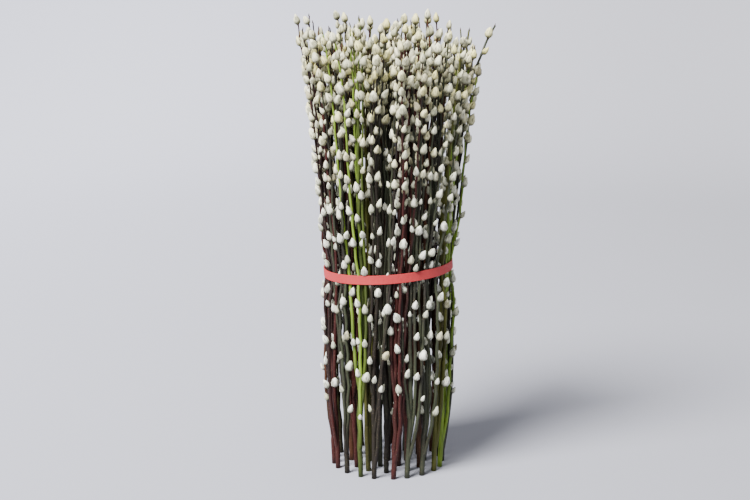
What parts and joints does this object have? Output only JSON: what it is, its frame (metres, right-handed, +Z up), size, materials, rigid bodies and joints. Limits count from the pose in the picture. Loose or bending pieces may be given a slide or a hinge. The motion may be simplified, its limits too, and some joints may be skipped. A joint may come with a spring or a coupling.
{
  "type": "bunch of willow branches",
  "caption": "Upright bunch of cut pussy willow branches with side shoots and silky catkins, held by an elastic tie and standing on their level cut ends.",
  "frame": {"origin": "centre of the bounding box on the floor plane that the cut ends stand on", "axes": "+Z up along the branches, -Y the side seen first, +X to the right of it, where the longest outlying branch leans"},
  "size_m": [0.3156, 0.2664, 0.7222],
  "materials": {
    "bark_maroon": "smooth young bark, satin",
    "bark_charcoal": "dark grey-brown bark, dull",
    "bark_russet": "red-brown bark, satin",
    "bark_olive": "olive bark, satin",
    "bark_lime": "yellow-green bark, satin",
    "catkin": "silky cream down",
    "tie_elastic": "ribbed coral-pink elastic"
  },
  "bodies": {
    "root": {"branch_01": "bark_maroon", "branch_02": "bark_charcoal", "branch_03": "bark_russet", "branch_04": "bark_maroon", "branch_05": "bark_olive", "branch_06": "bark_charcoal", "branch_07": "bark_maroon", "branch_08": "bark_russet", "branch_09": "bark_maroon", "branch_10": "bark_charcoal", "branch_11": "bark_olive", "branch_12": "bark_maroon", "branch_13": "bark_charcoal", "branch_14": "bark_russet", "branch_15": "bark_maroon", "branch_16": "bark_olive", "branch_17": "bark_charcoal", "branch_18": "bark_maroon", "branch_19": "bark_russet", "branch_20": "bark_charcoal", "branch_21": "bark_olive", "branch_22": "bark_russet", "branch_23": "bark_maroon", "branch_24": "bark_charcoal", "branch_25": "bark_russet", "branch_26": "bark_olive", "branch_27": "bark_maroon", "branch_28": "bark_charcoal", "branch_29": "bark_olive", "branch_30": "bark_russet", "branch_31": "bark_maroon", "branch_32": "bark_maroon", "branch_33": "bark_charcoal", "branch_34": "bark_lime", "branch_35": "bark_charcoal", "branch_36": "bark_maroon", "branch_37": "bark_charcoal", "branch_38": "bark_charcoal", "branch_39": "bark_olive", "branch_40": "bark_lime", "tie_band": "tie_elastic"}
  },
  "joints": []
}
